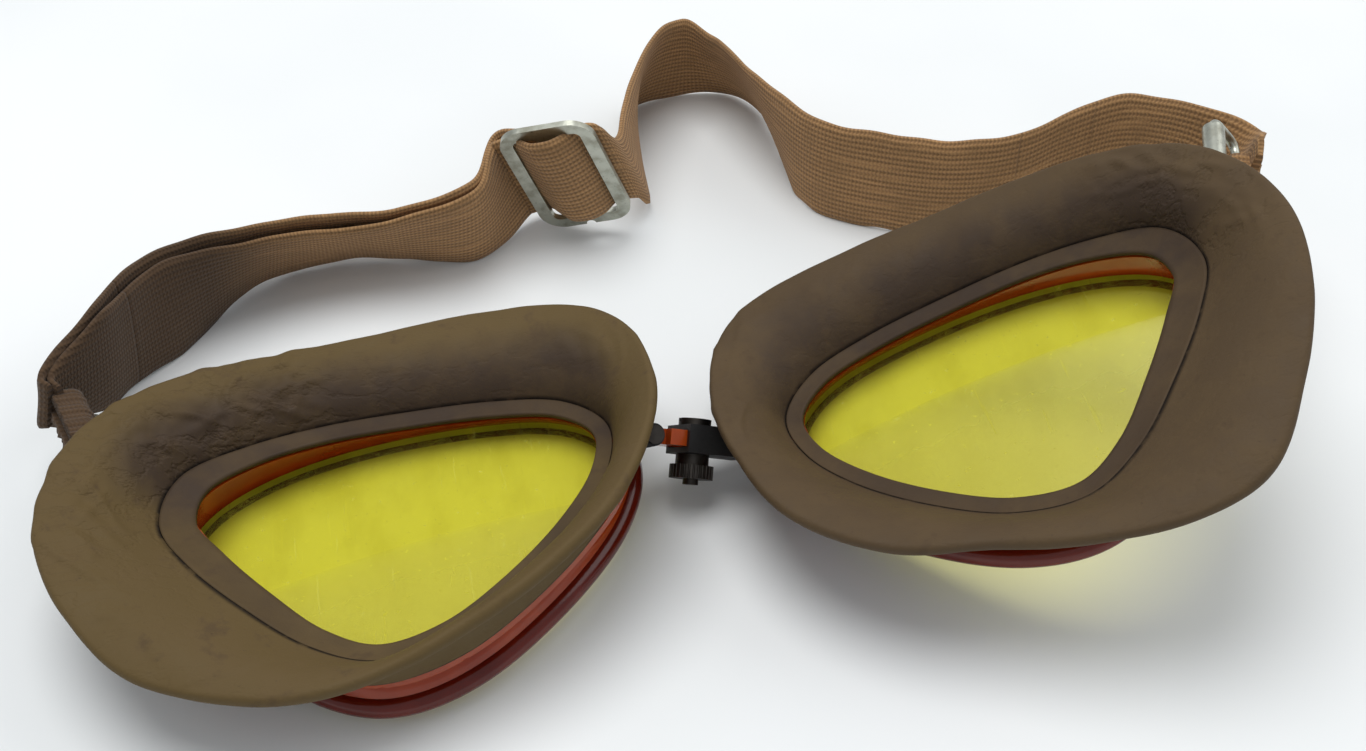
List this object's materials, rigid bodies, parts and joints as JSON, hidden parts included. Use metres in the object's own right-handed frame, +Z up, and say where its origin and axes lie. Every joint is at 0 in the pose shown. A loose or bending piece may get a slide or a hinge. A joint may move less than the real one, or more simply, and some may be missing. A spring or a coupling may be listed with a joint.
{
  "type": "aviator flying goggles",
  "caption": "Flying goggles with a yellow lens in each maroon eyecup, flared rubber face cushions, an adjustable hinged nose bridge and a ribbed strap with a slide buckle, lying lens down.",
  "frame": {"origin": "middle of the part's bounding box on the table plane under it", "axes": "+X along the pair from the left eyecup to the right one, +Y towards the brow edge and the strap, +Z up from the table towards the face side"},
  "size_m": [0.1838, 0.1366, 0.0466],
  "materials": {
    "maroon_plastic": "glossy translucent moulded plastic",
    "dark_bead": "glossy dark moulded bead",
    "yellow_lens": "clear polished yellow plate",
    "cushion_rubber": "matt aged rubber with fine wrinkles",
    "black_metal": "black paint, worn at the edges",
    "dark_steel": "blackened steel",
    "nickel": "worn nickel plate",
    "webbing": "ribbed elastic webbing"
  },
  "bodies": {
    "bridge": {"bridge_arm": "maroon_plastic", "strap_buckle": "nickel", "strap_middle": "webbing", "strap_left": "webbing", "strap_return": "webbing", "strap_right": "webbing"},
    "left_cup": {"left_eyecup": "maroon_plastic", "left_lens": "yellow_lens", "left_lens_rim": "dark_bead", "left_cushion": "cushion_rubber", "left_cushion_collar": "cushion_rubber", "left_nose_lug": "black_metal", "left_hinge_pin": "dark_steel", "left_temple_lug": "nickel", "left_temple_rivets": "nickel"},
    "left_loop": {"left_strap_loop": "nickel", "left_strap_wrap": "webbing"},
    "clamp": {"bridge_clamp": "black_metal", "bridge_screw": "dark_steel"},
    "nut": {"thumb_nut": "dark_steel"},
    "right_cup": {"right_eyecup": "maroon_plastic", "right_lens": "yellow_lens", "right_lens_rim": "dark_bead", "right_cushion": "cushion_rubber", "right_cushion_collar": "cushion_rubber", "right_nose_lug": "black_metal", "right_hinge_pin": "dark_steel", "right_temple_lug": "nickel", "right_temple_rivets": "nickel"},
    "right_loop": {"right_strap_loop": "nickel", "right_strap_wrap": "webbing"}
  },
  "joints": [
    {"name": "left_nose_hinge", "type": "hinge", "parent": "bridge", "child": "left_cup", "pos_m": [-0.0076, -0.02693, 0.01148], "axis": [-0.2928, 0.6761, -0.6761], "range_deg": [-10, 45], "deforming": ["strap_left", "strap_return"]},
    {"name": "bridge_slide", "type": "slide", "parent": "bridge", "child": "clamp", "axis": [0.9307, 0.0394, -0.3636], "range_m": [-0.0024, 0.0024], "deforming": ["strap_right"]},
    {"name": "nut_turn", "type": "hinge", "parent": "clamp", "child": "nut", "pos_m": [-0.00135, -0.02813, 0.00756], "axis": [0.2192, 0.7357, 0.6408], "continuous": true},
    {"name": "right_nose_hinge", "type": "hinge", "parent": "clamp", "child": "right_cup", "pos_m": [0.00892, -0.02622, 0.00502], "axis": [-0.2928, 0.6761, -0.6761], "range_deg": [-5, 45], "deforming": ["strap_right"]},
    {"name": "left_loop_swing", "type": "hinge", "parent": "left_cup", "child": "left_loop", "pos_m": [-0.0815, -0.01438, 0.00732], "axis": [-0.3323, 0.9428, -0.0261], "range_deg": [-60, 5], "deforming": ["strap_left", "strap_return"]},
    {"name": "right_loop_swing", "type": "hinge", "parent": "right_cup", "child": "right_loop", "pos_m": [0.07665, -0.01367, 0.03486], "axis": [0.3079, 0.9428, 0.1275], "range_deg": [-60, 20], "deforming": ["strap_right"]}
  ]
}
